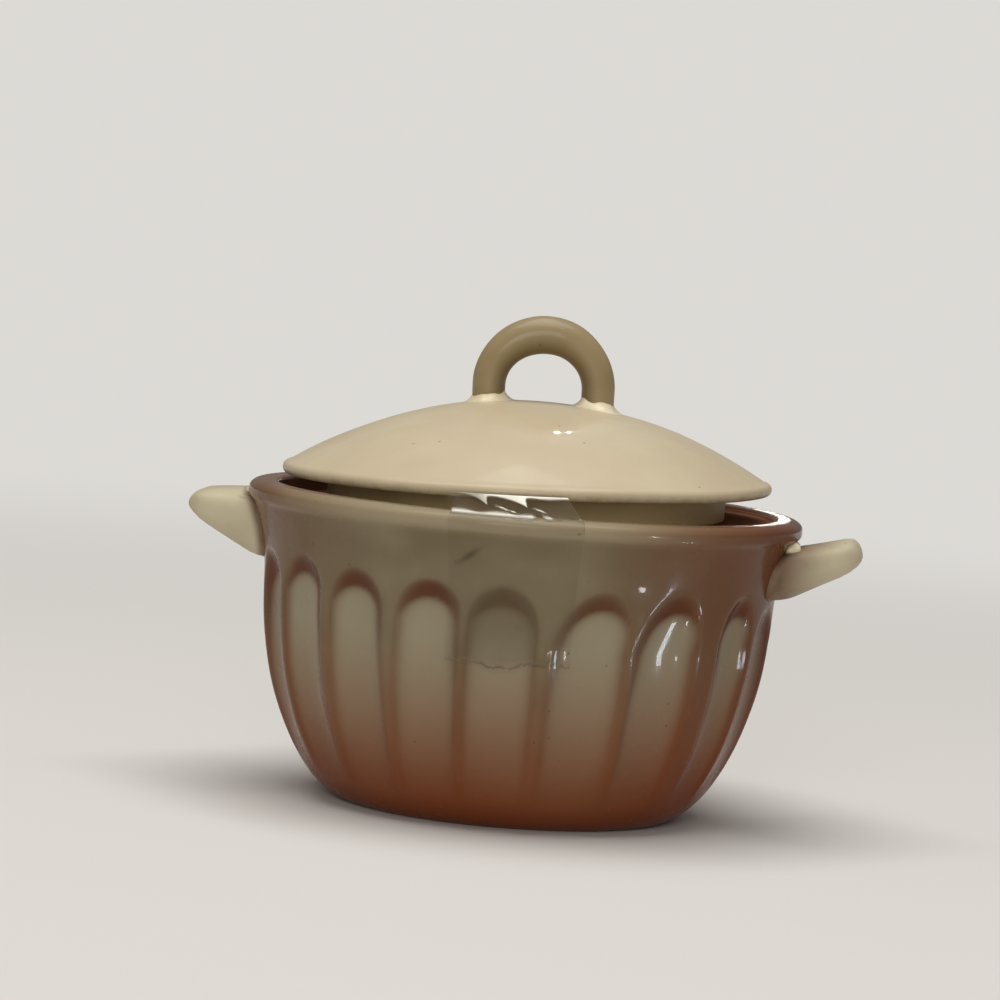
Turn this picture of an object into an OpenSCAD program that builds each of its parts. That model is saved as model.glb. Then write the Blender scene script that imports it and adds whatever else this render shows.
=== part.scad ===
// Small lidded stoneware pot with a fluted wall, two side lugs and a looped lid, all in millimetres.
// +Z is up, the lugs point near X, the taped side faces -Y, and the origin is the centre of the base.
// The pot stands on its foot. The lid stands on a seat inside the rim and lifts straight off.

/* [Pot] */
// Outer diameter of the rim
rim_d = 102; // [96:0.5:112]
// Height of the rim above the table
pot_h = 57; // [53:0.5:70]
// Diameter across the ridges where the wall is fullest
belly_d = 94.8; // [90:0.2:98]
// Height where the wall is fullest
belly_z = 40; // [35:0.5:41]
// Diameter of the flat foot
foot_d = 61; // [54:0.5:66]
// Exponent of the wall's curve: smaller makes a boxier pot
wall_fullness = 0.65; // [0.55:0.01:0.8]
// Thickness of the wall between the flutes
wall_t = 4.6; // [4.2:0.1:5.4]
// Thickness of the floor
floor_t = 5; // [4:0.1:8]
// Depth of the turned recess under the floor
foot_recess = 1; // [0.4:0.1:1.6]
// Width of the ring that the pot stands on
foot_ring_w = 5; // [3:0.5:9]

/* [Rim and seat] */
// Height of the thickened lip band
lip_h = 3.7; // [2.5:0.1:5]
// How far the lip band stands out from the neck below it
lip_step = 0.6; // [0.3:0.1:1]
// Radius that rounds the lip's outer edge
lip_round = 1; // [0.4:0.1:1.5]
// Diameter of the mouth inside the rim
mouth_d = 91.2; // [86:0.2:93]
// Depth of the lid's seat below the rim, at the middle
seat_depth = 2.4; // [2:0.1:4]
// Diameter of the opening through the seat
throat_d = 69; // [60:0.5:72]
// Thickness of the seat at its inner edge
seat_t = 3.2; // [2.5:0.1:4.5]
// How far the seat was fired out of level, higher on +X, in degrees
seat_tilt = 1.8; // [0:0.1:2]

/* [Flutes] */
// Number of flutes round the wall
flute_count = 20; // [16:1:22]
// Width of a flute at its widest
flute_w = 11.8; // [9:0.1:12]
// Depth of a flute just below its arched top
flute_depth = 2; // [1.2:0.1:2.1]
// Depth of the scoop in the arched top
scoop_depth = 2.4; // [2.3:0.1:2.8]
// Depth of a flute half way down the wall
flute_mid_depth = 1.7; // [1.1:0.1:2]
// Distance from the rim down to the arched tops
flute_drop = 12.4; // [11:0.1:15]
// Height at which the flutes run out near the foot
flute_end_z = 4.5; // [3:0.5:8]
// Turn of the flute pattern about the pot's axis, in degrees
flute_turn = -2; // [-9:0.5:9]

/* [Lugs] */
// How far each lug reaches out past the rim
lug_reach = 11.3; // [8:0.1:15]
// Width of a lug
lug_w = 18; // [15:0.5:24]
// Radius of a lug's two outer corners, seen from above
lug_corner_r = 5.5; // [4:0.5:7]
// Turn of both lugs about the pot's axis, in degrees, the right one coming forward below zero
lug_turn = -7; // [-9:0.5:9]
// Thickness of a lug at its tip
lug_tip_t = 6.2; // [5:0.1:7]
// Distance from the rim down to the middle of the left tip
left_lug_drop = 6.1; // [5:0.1:8]
// Slope of the left lug's top, falling outwards, in degrees
left_lug_fall = 5; // [0:1:8]
// Distance from the rim down to the middle of the right tip
right_lug_drop = 5.5; // [5:0.1:8]
// Slope of the right lug's top, rising outwards, in degrees
right_lug_rise = 14; // [0:1:16]
// Slope of the underside of both lugs, in degrees
lug_under_slope = 28; // [20:1:32]
// Radius of the roll of slip along each lug's root
lug_slip_r = 1.1; // [0.6:0.1:1.6]

/* [Lid] */
// Diameter of the lid
lid_d = 90; // [84:0.5:94]
// Height of the dome above the middle of the lid's edge
dome_h = 14.1; // [10:0.1:18]
// Thickness of the rounded edge
edge_t = 2.5; // [2:0.1:4]
// Thickness of the dome over the hollow
lid_t = 3.6; // [2.6:0.1:4.5]
// Gap between the rim and the underside of the lid, at the middle
lid_gap = 2.6; // [2:0.1:6]
// How far the lid's ring stands onto the seat
ring_bearing = 2.1; // [1:0.1:3]
// Thickness of the ring
ring_t = 3.4; // [2.5:0.1:5]

/* [Loop] */
// Diameter of the clay rod
rod_d = 6.5; // [5:0.1:7.5]
// Clear width inside the loop
loop_inner_w = 13.6; // [11:0.1:18]
// Length of the straight legs above the dome
loop_leg = 3.4; // [2:0.1:8]
// How far the loop sits off the lid's centre, towards +X
loop_shift = 2.2; // [-3:0.1:3]
// Radius of the roll of slip round each foot
loop_slip_r = 1.7; // [1:0.1:2]

/* [Tape] */
// Angle that the tape spans round the rim, in degrees
tape_span = 27; // [15:1:36]
// Turn of the tape's middle from the front, in degrees
tape_turn = -1.6; // [-10:0.1:10]
// Distance from the rim down to the tape's lower end
tape_drop = 25; // [16:0.5:34]
// Thickness of the tape
tape_t = 0.1; // [0.06:0.01:0.2]
// Gap between the tape's upper end and the lid's edge
tape_lid_gap = 0.4; // [0.3:0.05:1]

/* [Hidden] */
$fn = 96;

glaze_grey = "#b9b194";
lug_white = "#cfd0b4";
slip_white = "#e8e0c4";
lid_cream = "#d8cba6";
clay_olive = "#9d906c";
tape_clear = [0.9, 0.9, 0.85, 0.35];

wedge_gap = 0.4;
scoop_past = 0.15;
arc_fn = 144;
flute_fn = 48;
dome_fn = 240;
tip_steps = 10;
lug_past = 0.3;
slip_lift = 0.4;
tape_steps = 7;
wall_steps = 9;
neck_steps = 5;
adhesive_t = 0.03;
past = 1;

rim_r = rim_d / 2;
foot_r = foot_d / 2;
belly_r = belly_d / 2;
mouth_r = mouth_d / 2;
throat_r = throat_d / 2;
lip_z = pot_h - lip_h;
neck_r = rim_r - lip_step;
seat_z = pot_h - seat_depth;

// Radius of the outer wall over the ridges at height z: a rounded belly, then a flaring neck
function wall_r(z) =
    z <= belly_z
    ? foot_r + (belly_r - foot_r) * pow(1 - pow(1 - z / belly_z, 2), wall_fullness)
    : belly_r + (neck_r - belly_r) * pow((z - belly_z) / (lip_z - belly_z), 2);

// Heights from low to high, closer together near the foot where the wall turns fastest
function belly_heights(low, high) =
    [for (i = [0 : wall_steps]) low + (high - low) * pow(i / wall_steps, 2)];

neck_heights = [for (i = [1 : neck_steps]) belly_z + (lip_z - belly_z) * i / neck_steps];

// Inside of the pot: the same curve, one wall in, from the floor up to the underside of the seat
inner_foot_r = foot_r - wall_t + past;
inner_belly_r = belly_r - wall_t;
seat_under_z = seat_z - seat_t;
seat_slope_h = inner_belly_r - throat_r;
inner_top_z = seat_under_z - seat_slope_h;

function inner_r(z) =
    inner_foot_r + (inner_belly_r - inner_foot_r)
    * pow(1 - pow(1 - min(1, (z - floor_t) / (belly_z - floor_t)), 2), wall_fullness);

// Centre and radius of the circle through three points
function circle_through(a, b, c) =
    let (
        u = b - a,
        v = c - a,
        d = 2 * (u[0] * v[1] - u[1] * v[0]),
        centre = a + [v[1] * (u * u) - u[1] * (v * v), u[0] * (v * v) - v[0] * (u * u)] / d
    )
    [centre, norm(a - centre)];

// Radius of a round cutter that leaves a hollow of this half width and depth in the round wall
function cutter_r(half_w, depth) =
    half_w * half_w * belly_r / (2 * depth * belly_r - half_w * half_w) + depth / 2;

// A flute's floor is an arc in the plane through the pot's axis
flute_r = cutter_r(flute_w / 2, flute_depth);
scoop_r = cutter_r(flute_w / 2 + scoop_past, scoop_depth);
flute_top_z = pot_h - flute_drop - flute_w / 2;
flute_mid_z = flute_top_z / 2;
flute_arc = circle_through(
    [wall_r(flute_top_z) - flute_depth, flute_top_z],
    [wall_r(flute_mid_z) - flute_mid_depth, flute_mid_z],
    [wall_r(flute_end_z), flute_end_z]
);

// Lugs
lug_tip_r = lug_tip_t / 2;
lug_x = rim_r + lug_reach;
lug_root_x = belly_r - 2 * wall_t;
lug_inner_x = lug_x + lug_past - lug_corner_r;
lug_low_z = pot_h - max(left_lug_drop, right_lug_drop) - lug_tip_r
    - (lug_x - belly_r - lug_tip_r) * tan(lug_under_slope);
lug_half_angle = asin(lug_w / (2 * belly_r)) + asin(flute_w / (2 * belly_r));

// Lid, measured up from the seat that its ring stands on
lid_r = lid_d / 2;
ring_r = throat_r + ring_bearing;
ring_h = seat_depth + lid_gap;
edge_r = edge_t / 2;
edge_z = ring_h + edge_r;
apex_z = edge_z + dome_h;
dome_r = (pow(lid_r - edge_r, 2) + pow(dome_h - edge_r, 2)) / (2 * (dome_h - edge_r));
dome_z = apex_z - dome_r;

// Loop
rod_r = rod_d / 2;
loop_r = loop_inner_w / 2 + rod_r;
foot_z = dome_z + sqrt(pow(dome_r, 2) - pow(loop_r + abs(loop_shift), 2));
loop_z = foot_z + loop_leg;

// Profile of the pot's outside over the ridges, grown outwards by a skin
function outside(low, high_step, skin) = concat(
    [for (z = belly_heights(low, belly_z)) [wall_r(z) + skin, z]],
    [for (i = [0 : high_step - 1]) [wall_r(neck_heights[i]) + skin, neck_heights[i]]]
);

// Solid of the pot's outer shape, without flutes or hollow
module pot_outer() {
    rotate_extrude() {
        polygon(concat([[0, 0]], outside(0, neck_steps, 0), [[0, lip_z]]));
        translate([0, lip_z]) square([rim_r, lip_h - lip_round]);
        translate([0, lip_z]) square([rim_r - lip_round, lip_h]);
        translate([rim_r - lip_round, pot_h - lip_round]) circle(lip_round);
    }
}

module pot_cavity() {
    rotate_extrude()
        polygon(concat(
            [[0, floor_t]],
            [for (z = belly_heights(floor_t, min(belly_z, inner_top_z))) [inner_r(z), z]],
            [[inner_belly_r, max(belly_z, inner_top_z)], [throat_r, seat_under_z]],
            [[throat_r, pot_h], [0, pot_h]]
        ));
}

// The lid and everything on it lie square to the seat
module on_seat() {
    translate([0, 0, seat_z]) rotate([0, -seat_tilt, 0]) children();
}

// Wedge in which a flute's cutter works, so that it stays clear of the cutters beside it
module flute_wedge() {
    half = belly_d * tan(180 / flute_count - wedge_gap);
    translate([0, 0, -past]) linear_extrude(pot_h) polygon([[0, 0], [belly_d, -half], [belly_d, half]]);
}

// Round cutter at +X that follows a flute's floor down from the height top_z
module flute_run(top_z) {
    centre = flute_arc[0];
    high = asin((top_z - centre[1]) / flute_arc[1]);
    low = asin((-past - centre[1]) / flute_arc[1]);
    translate([centre[0], 0, centre[1]]) rotate([90, 0, 0]) rotate([0, 0, low])
        rotate_extrude(angle = high - low, $fn = arc_fn)
        translate([flute_arc[1] + flute_r, 0]) circle(flute_r, $fn = flute_fn);
}

// Ball at +X that scoops the arched top a little deeper
module flute_scoop(top_z) {
    translate([wall_r(top_z) - scoop_depth + scoop_r, 0, top_z]) sphere(scoop_r, $fn = flute_fn);
}

module flute_cutter(top_z) {
    intersection() {
        flute_run(top_z);
        flute_wedge();
    }
    intersection() {
        flute_scoop(top_z);
        flute_wedge();
    }
}

// Flutes that would run under a lug start below it
function flute_start(angle) =
    abs(abs(angle - lug_turn) - 90) > 90 - lug_half_angle ? lug_low_z - flute_w / 2 - past : flute_top_z;

module pot_body() {
    color(glaze_grey)
    difference() {
        pot_outer();
        pot_cavity();
        on_seat() cylinder(r = mouth_r, h = 2 * seat_depth + 2 * past);
        translate([0, 0, -past]) cylinder(r = foot_r - foot_ring_w, h = foot_recess + past);
        for (i = [0 : flute_count - 1]) {
            angle = flute_turn - 90 + 360 * i / flute_count;
            wrapped = angle > 180 ? angle - 360 : angle;
            rotate([0, 0, angle]) flute_cutter(flute_start(wrapped));
        }
    }
}

// Side view of a lug: a round tip with straight lines running in to the wall from it
module lug_side(drop, top_slope) {
    tip = [lug_x - lug_tip_r, pot_h - drop];
    turn = 180 - lug_under_slope + top_slope;
    arc = [
        for (i = [0 : tip_steps])
            let (a = lug_under_slope - 90 + turn * i / tip_steps)
            tip + lug_tip_r * [cos(a), sin(a)]
    ];
    under = arc[0];
    top = arc[tip_steps];
    polygon(concat(
        arc,
        [
            [lug_root_x, top[1] - (top[0] - lug_root_x) * tan(top_slope)],
            [lug_root_x, under[1] - (under[0] - lug_root_x) * tan(lug_under_slope)]
        ]
    ));
}

// Tall block with a lug's outline from above, whose corners are round
module lug_plan() {
    corner_y = lug_w / 2 - lug_corner_r;
    translate([0, -lug_w / 2, 0]) cube([lug_inner_x, lug_w, pot_h]);
    translate([0, -corner_y, 0]) cube([lug_x + lug_past, 2 * corner_y, pot_h]);
    for (side = [-1, 1])
        translate([lug_inner_x, side * corner_y, 0]) cylinder(r = lug_corner_r, h = pot_h);
}

module lug(drop, top_slope) {
    difference() {
        intersection() {
            translate([0, lug_w / 2, 0]) rotate([90, 0, 0]) linear_extrude(lug_w) lug_side(drop, top_slope);
            lug_plan();
        }
        pot_outer();
    }
}

// Height where a lug's top meets the wall
function lug_top_z(drop, top_slope) =
    pot_h - drop + lug_tip_r / cos(top_slope) - (lug_x - lug_tip_r - rim_r) * tan(top_slope);

module lug_slip(drop, top_slope) {
    z = lug_top_z(drop, top_slope);
    r = z > lip_z ? rim_r : wall_r(z);
    span = 2 * asin((lug_w / 2 - lug_slip_r) / r);
    difference() {
        rotate([0, 0, -span / 2]) rotate_extrude(angle = span)
            translate([r, z + slip_lift]) circle(lug_slip_r);
        pot_outer();
        lug(drop, top_slope);
    }
}

module left_lug() {
    color(lug_white) rotate([0, 0, lug_turn]) mirror([1, 0, 0]) lug(left_lug_drop, -left_lug_fall);
}

module right_lug() {
    color(lug_white) rotate([0, 0, lug_turn]) lug(right_lug_drop, right_lug_rise);
}

module left_lug_slip() {
    color(slip_white) rotate([0, 0, lug_turn]) mirror([1, 0, 0]) lug_slip(left_lug_drop, -left_lug_fall);
}

module right_lug_slip() {
    color(slip_white) rotate([0, 0, lug_turn]) lug_slip(right_lug_drop, right_lug_rise);
}

// Solid of the lid's outer shape above its flat underside
module lid_outer() {
    rotate_extrude() {
        intersection() {
            translate([0, dome_z]) circle(dome_r, $fn = dome_fn);
            translate([0, edge_z]) square([lid_r - edge_r, dome_h + past]);
        }
        translate([0, ring_h]) square([lid_r - edge_r, edge_t]);
        translate([lid_r - edge_r, edge_z]) circle(edge_r);
    }
}

module lid_shell() {
    color(lid_cream)
    on_seat()
    difference() {
        lid_outer();
        intersection() {
            translate([0, 0, dome_z]) sphere(dome_r - lid_t);
            translate([0, 0, ring_h - past]) cylinder(r = ring_r - ring_t, h = apex_z);
        }
    }
}

module lid_flange() {
    color(clay_olive)
    on_seat()
    difference() {
        cylinder(r = ring_r, h = ring_h);
        translate([0, 0, -past]) cylinder(r = ring_r - ring_t, h = ring_h + 2 * past);
    }
}

module loop_leg_rod() {
    translate([0, 0, ring_h + edge_t]) cylinder(r = rod_r, h = loop_z - ring_h - edge_t);
}

module lid_loop() {
    color(clay_olive)
    on_seat()
    difference() {
        translate([loop_shift, 0, 0]) {
            translate([0, 0, loop_z]) rotate([90, 0, 0]) rotate_extrude(angle = 180)
                translate([loop_r, 0]) circle(rod_r);
            for (side = [-1, 1]) translate([side * loop_r, 0, 0]) loop_leg_rod();
        }
        translate([0, 0, dome_z]) sphere(dome_r, $fn = dome_fn);
    }
}

// The roll of slip round the foot on one side of the loop
module loop_slip(side) {
    x = loop_shift + side * loop_r;
    z = dome_z + sqrt(pow(dome_r, 2) - x * x);
    color(slip_white)
    on_seat()
    difference() {
        translate([x, 0, z]) rotate_extrude() translate([rod_r, 0]) circle(loop_slip_r);
        translate([x, 0, 0]) cylinder(r = rod_r, h = apex_z + loop_leg);
        translate([0, 0, dome_z]) sphere(dome_r, $fn = dome_fn);
    }
}

module left_loop_slip() {
    loop_slip(-1);
}

module right_loop_slip() {
    loop_slip(1);
}

// Inner line of the tape in section, from its lower end up over the lip band
tape_low_z = pot_h - tape_drop;
tape_heights = [for (i = [0 : tape_steps]) tape_low_z + (lip_z - tape_low_z) * i / (tape_steps + 1)];
tape_line = concat([for (z = tape_heights) [wall_r(z), z]], [[rim_r, lip_z], [rim_r, pot_h]]);
tape_end = [lid_r + tape_lid_gap, seat_z + edge_z];

module lid_tape() {
    inner = [for (p = tape_line) p + [adhesive_t, 0]];
    corner = inner[len(inner) - 1];
    outer = [for (p = inner) p + [tape_t, 0]];
    lift = [0, tape_t];
    color(tape_clear)
    rotate([0, 0, -90 + tape_turn - tape_span / 2])
        rotate_extrude(angle = tape_span)
        polygon(concat(
            inner,
            [tape_end, tape_end + lift, corner + lift + [tape_t, 0]],
            [for (i = [len(outer) - 2 : -1 : 0]) outer[i]]
        ));
}

pot_body();
left_lug();
right_lug();
left_lug_slip();
right_lug_slip();
lid_tape();
lid_shell();
lid_flange();
lid_loop();
left_loop_slip();
right_loop_slip();
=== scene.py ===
# %% [markdown]
# A lidded stoneware pot, dressed for its portrait
#
# The pot is thrown on a wheel, fluted with a loop tool, and covered in a grey-green glaze.
# Two lugs, a domed lid with a clay loop, rolls of pale slip and a strip of clear tape make up
# the rest. Its solid model already exists. This lesson loads it, measures it, and builds a
# finer skin for each of its pieces, with glazes that look wet and uneven.

import math
import random

import bmesh
import bpy
import numpy as np
from mathutils import Matrix, Quaternion, Vector, noise


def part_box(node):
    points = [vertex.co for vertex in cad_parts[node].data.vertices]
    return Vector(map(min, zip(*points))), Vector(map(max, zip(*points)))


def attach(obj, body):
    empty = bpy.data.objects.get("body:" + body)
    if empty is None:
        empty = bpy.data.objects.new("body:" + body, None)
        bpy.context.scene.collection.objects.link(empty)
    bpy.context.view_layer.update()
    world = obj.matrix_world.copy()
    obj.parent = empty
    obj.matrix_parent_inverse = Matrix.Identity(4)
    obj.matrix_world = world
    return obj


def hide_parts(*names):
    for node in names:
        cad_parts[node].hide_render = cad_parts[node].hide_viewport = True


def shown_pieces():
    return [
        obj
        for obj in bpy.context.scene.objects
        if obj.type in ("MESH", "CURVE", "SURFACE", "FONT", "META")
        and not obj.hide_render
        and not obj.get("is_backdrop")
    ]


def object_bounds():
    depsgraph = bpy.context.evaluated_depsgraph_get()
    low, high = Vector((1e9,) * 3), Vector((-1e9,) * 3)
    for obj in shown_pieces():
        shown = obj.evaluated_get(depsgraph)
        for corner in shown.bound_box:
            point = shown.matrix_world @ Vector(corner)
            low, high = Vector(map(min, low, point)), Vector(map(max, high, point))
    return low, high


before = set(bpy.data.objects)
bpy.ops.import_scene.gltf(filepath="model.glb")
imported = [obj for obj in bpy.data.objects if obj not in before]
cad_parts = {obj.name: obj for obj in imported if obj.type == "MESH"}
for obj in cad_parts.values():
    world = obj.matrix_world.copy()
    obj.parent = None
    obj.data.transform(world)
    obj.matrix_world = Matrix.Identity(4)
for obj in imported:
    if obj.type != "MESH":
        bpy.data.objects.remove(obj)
SOLID_BOX = [list(corner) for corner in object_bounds()]
MM = 0.001
print("solid model, mm:", [[round(c / MM, 2) for c in corner] for corner in SOLID_BOX])

# %% [markdown]
# Every size below is in metres. The main ones are read from the solids' own boxes, so that the
# skins always land where the solids are. The rest are the potter's measurements: wall, lip,
# seat, dome and flutes, as the solid model was made.

# %% Sizes read from the solids
POT_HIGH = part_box("pot_body")[1]
RIM_R = POT_HIGH.x
POT_H = POT_HIGH.z
LUG_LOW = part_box("right_lug")[0].z
print("rim radius", round(RIM_R / MM, 2), "height", round(POT_H / MM, 2))

# %% The potter's measurements
BELLY_R, BELLY_Z, FOOT_R = 47.4 * MM, 40 * MM, 30.5 * MM
FULLNESS = 0.65
WALL_T, FLOOR_T = 4.6 * MM, 5 * MM
LIP_H, LIP_STEP = 3.7 * MM, 0.6 * MM
MOUTH_R, THROAT_R = 45.6 * MM, 34.5 * MM
SEAT_DEPTH, SEAT_T = 2.4 * MM, 3.2 * MM
SEAT_TILT = math.radians(1.8)
FLUTES, FLUTE_TURN = 20, math.radians(-2)
FLUTE_PITCH = 360 / FLUTES
FULL_DEPTH_RISE, LEAN_MIDDLE = 34.2 * MM, 30 * MM
ARCH_SHADE, PALE_BELOW = 20 * MM, 3.3 * MM
FLUTE_TOP, FLUTE_END = POT_H - 12.4 * MM, 4.5 * MM
LID_R, RING_H, EDGE_T, DOME_H, LID_T = 45 * MM, 5 * MM, 2.5 * MM, 14.1 * MM, 3.6 * MM
RING_R, RING_T = 36.6 * MM, 3.4 * MM
ROD_R, LOOP_R, LOOP_SHIFT, LOOP_LEG = 3.25 * MM, 10.05 * MM, 2.2 * MM, 3.4 * MM
LUG_X, LUG_HALF_W, LUG_CORNER = RIM_R + 11.3 * MM, 9 * MM, 5.5 * MM
LUG_TURN = math.radians(-7)
LIP_Z = POT_H - LIP_H
NECK_R = RIM_R - LIP_STEP
SEAT_Z = POT_H - SEAT_DEPTH
ON_SEAT = Matrix.Translation((0, 0, SEAT_Z)) @ Matrix.Rotation(-SEAT_TILT, 4, "Y")
EDGE_R = EDGE_T / 2
EDGE_Z = RING_H + EDGE_R
DOME_R = ((LID_R - EDGE_R) ** 2 + (DOME_H - EDGE_R) ** 2) / (2 * (DOME_H - EDGE_R))
DOME_Z = EDGE_Z + DOME_H - DOME_R


def wall_r(z):
    """Radius of the thrown wall at height z: a rounded belly, then a flaring neck."""
    if z <= BELLY_Z:
        return FOOT_R + (BELLY_R - FOOT_R) * max(0.0, 1 - (1 - z / BELLY_Z) ** 2) ** FULLNESS
    return BELLY_R + (NECK_R - BELLY_R) * ((z - BELLY_Z) / (LIP_Z - BELLY_Z)) ** 2


def dome_z(x, y):
    """Height of the lid's dome above the seat, at x, y in the lid's own frame."""
    return DOME_Z + math.sqrt(DOME_R**2 - x * x - y * y)


print("wall radius at mid height", round(wall_r(POT_H / 2) / MM, 2))

# %% [markdown]
# The camera looks from a little above the table, from 0.8 m, through a long lens. The pot leans
# a few degrees in the picture because the camera was rolled, so the roll belongs to the camera
# and the pot stands upright.

# %% Camera
CAMERA_DISTANCE = 0.8
CAMERA_RISE = math.radians(8)
AIM_UP, AIM_LEFT, ROLL = math.radians(4.02), math.radians(0.351), math.radians(4.62)
camera = bpy.data.objects.new("camera", bpy.data.cameras.new("camera"))
bpy.context.scene.collection.objects.link(camera)
camera.data.sensor_width = 36
camera.data.lens = 155.25
camera.data.clip_start, camera.data.clip_end = 0.01, 100
camera.location = (0, -CAMERA_DISTANCE * math.cos(CAMERA_RISE), CAMERA_DISTANCE * math.sin(CAMERA_RISE))
dip = CAMERA_RISE - AIM_UP
forward = Vector((-math.sin(AIM_LEFT) * math.cos(dip), math.cos(AIM_LEFT) * math.cos(dip), -math.sin(dip)))
camera.rotation_mode = "QUATERNION"
camera.rotation_quaternion = forward.to_track_quat("-Z", "Y") @ Quaternion((0, 0, 1), ROLL)
bpy.context.scene.camera = camera
print("camera at", [round(c, 3) for c in camera.location])

# %% [markdown]
# Small helpers turn lists of points into finished objects. A grid of points becomes a skin, and
# its seam and poles are closed by merging points that fall together. Normals are recalculated
# once everything is joined, so that they all point out of the clay.


# %% Helpers for meshes
def finished(name, mesh, material, smooth=True):
    """An object at the origin, with merged seams, outward normals and its material."""
    work = bmesh.new()
    work.from_mesh(mesh)
    bmesh.ops.remove_doubles(work, verts=work.verts, dist=0.004 * MM)
    bmesh.ops.recalc_face_normals(work, faces=work.faces)
    open_edges = sum(1 for e in work.edges if not e.is_manifold)
    work.to_mesh(mesh)
    work.free()
    mesh.shade_smooth() if smooth else mesh.shade_flat()
    piece = bpy.data.objects.new(name, mesh)
    bpy.context.scene.collection.objects.link(piece)
    if material:
        piece.data.materials.clear()
        piece.data.materials.append(material)
    print(name, "faces", len(mesh.polygons), "open edges", open_edges)
    return piece


def skin(name, rows, closed_rows=True, closed_columns=False):
    """A mesh from rows of points. Closed rows join end to end, closed columns join last row to first."""
    count = len(rows[0])
    points = [tuple(p) for row in rows for p in row]
    faces = []
    row_pairs = len(rows) if closed_columns else len(rows) - 1
    for j in range(row_pairs):
        for i in range(count if closed_rows else count - 1):
            a, b = j * count + i, j * count + (i + 1) % count
            c, d = ((j + 1) % len(rows)) * count + (i + 1) % count, ((j + 1) % len(rows)) * count + i
            faces.append((a, b, c, d))
    mesh = bpy.data.meshes.new(name)
    mesh.from_pydata(points, [], faces)
    mesh.update()
    return mesh


def bend_through(corners, step):
    """Points a step apart along straight lines between corners."""
    line = [corners[0]]
    for a, b in zip(corners, corners[1:]):
        a, b = np.array(a, float), np.array(b, float)
        n = max(1, int(math.ceil(np.linalg.norm(b - a) / step)))
        line += [tuple(a + (b - a) * i / n) for i in range(1, n + 1)]
    return line


def rounded(centre, radius, start, end, steps):
    """Points on an arc in a section, angles in degrees."""
    return [
        (
            centre[0] + radius * math.cos(math.radians(start + (end - start) * i / steps)),
            centre[1] + radius * math.sin(math.radians(start + (end - start) * i / steps)),
        )
        for i in range(steps + 1)
    ]


def wobble(point, size, seed):
    """Smooth noise from -1 to 1 whose bumps are about this size."""
    return noise.noise(Vector(point) / size + Vector((seed * 7.1, seed * 3.7, seed * 5.3)))


print("helpers ready")

# %% [markdown]
# A glaze is glass that pools in hollows and runs thin over edges. The colour is mixed from slow
# clouds, fine mottle and iron specks, all in Object coordinates. Roughness and a shallow bump
# come from the same clouds, so dull patches and uneven patches agree.


# %% A helper for glaze materials
def node_of(tree, kind, **settings):
    node = tree.nodes.new(kind)
    for key, value in settings.items():
        setattr(node, key, value)
    return node


def new_material(name):
    material = bpy.data.materials.new(name)
    material.use_nodes = True
    tree = material.node_tree
    tree.nodes.clear()
    shader = tree.nodes.new("ShaderNodeBsdfPrincipled")
    out = tree.nodes.new("ShaderNodeOutputMaterial")
    tree.links.new(shader.outputs["BSDF"], out.inputs["Surface"])
    return material, tree, shader


def noise_of(tree, where, scale, detail=3.0, rough=0.5):
    node = node_of(tree, "ShaderNodeTexNoise")
    node.inputs["Scale"].default_value = scale
    node.inputs["Detail"].default_value = detail
    node.inputs["Roughness"].default_value = rough
    tree.links.new(where, node.inputs["Vector"])
    return node.outputs["Fac"]


def ramp_of(tree, value, stops, ease="LINEAR"):
    node = node_of(tree, "ShaderNodeValToRGB")
    ramp = node.color_ramp
    ramp.interpolation = ease
    while len(ramp.elements) < len(stops):
        ramp.elements.new(0.5)
    for element, (place, tone) in zip(ramp.elements, stops):
        element.position = place
        element.color = (*tone, 1) if isinstance(tone, tuple) else (tone, tone, tone, 1)
    tree.links.new(value, node.inputs["Fac"])
    return node.outputs["Color"]


def blend_of(tree, share, a, b, how="MIX"):
    """Mixes two colours. Each input may be a socket, a colour or a number."""
    node = node_of(tree, "ShaderNodeMix", data_type="RGBA", blend_type=how)
    for key, value in (("Factor", share), ("A", a), ("B", b)):
        socket = next(s for s in node.inputs
                      if s.name == key and (key == "Factor" or s.type == "RGBA") and s.enabled)
        if isinstance(value, bpy.types.NodeSocket):
            tree.links.new(value, socket)
        elif key == "Factor":
            socket.default_value = value
        else:
            socket.default_value = (*value, 1)
    return next(s for s in node.outputs if s.type == "RGBA" and s.enabled)


def specks_of(tree, where, scale, size, share):
    """Small round specks of iron: 1 on a speck, 0 elsewhere. Share is how many cells have one."""
    cells = node_of(tree, "ShaderNodeTexVoronoi")
    cells.inputs["Scale"].default_value = scale
    tree.links.new(where, cells.inputs["Vector"])
    dot = ramp_of(tree, cells.outputs["Distance"], [(size * 0.6, 1.0), (size, 0.0)])
    split = node_of(tree, "ShaderNodeSeparateColor")
    tree.links.new(cells.outputs["Color"], split.inputs["Color"])
    some = ramp_of(tree, split.outputs["Red"], [(share, 1.0), (share + 0.02, 0.0)])
    return blend_of(tree, 1.0, dot, some, "MULTIPLY")


def attribute_of(tree, name):
    node = node_of(tree, "ShaderNodeAttribute", attribute_name=name)
    return node.outputs["Fac"]


def linear(red, green, blue):
    """A colour as a painter names it, 0 to 255, in the linear values that shaders use."""
    return tuple(((c / 255 + 0.055) / 1.055) ** 2.4 if c > 10 else c / 255 / 12.92
                 for c in (red, green, blue))


def height_of(tree, where, low, high):
    """0 below the height low, 1 above the height high, and a straight climb between."""
    split = node_of(tree, "ShaderNodeSeparateXYZ")
    tree.links.new(where, split.inputs[0])
    climb = node_of(tree, "ShaderNodeMapRange")
    climb.inputs["From Min"].default_value = low
    climb.inputs["From Max"].default_value = high
    tree.links.new(split.outputs["Z"], climb.inputs["Value"])
    return climb.outputs[0]


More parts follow.
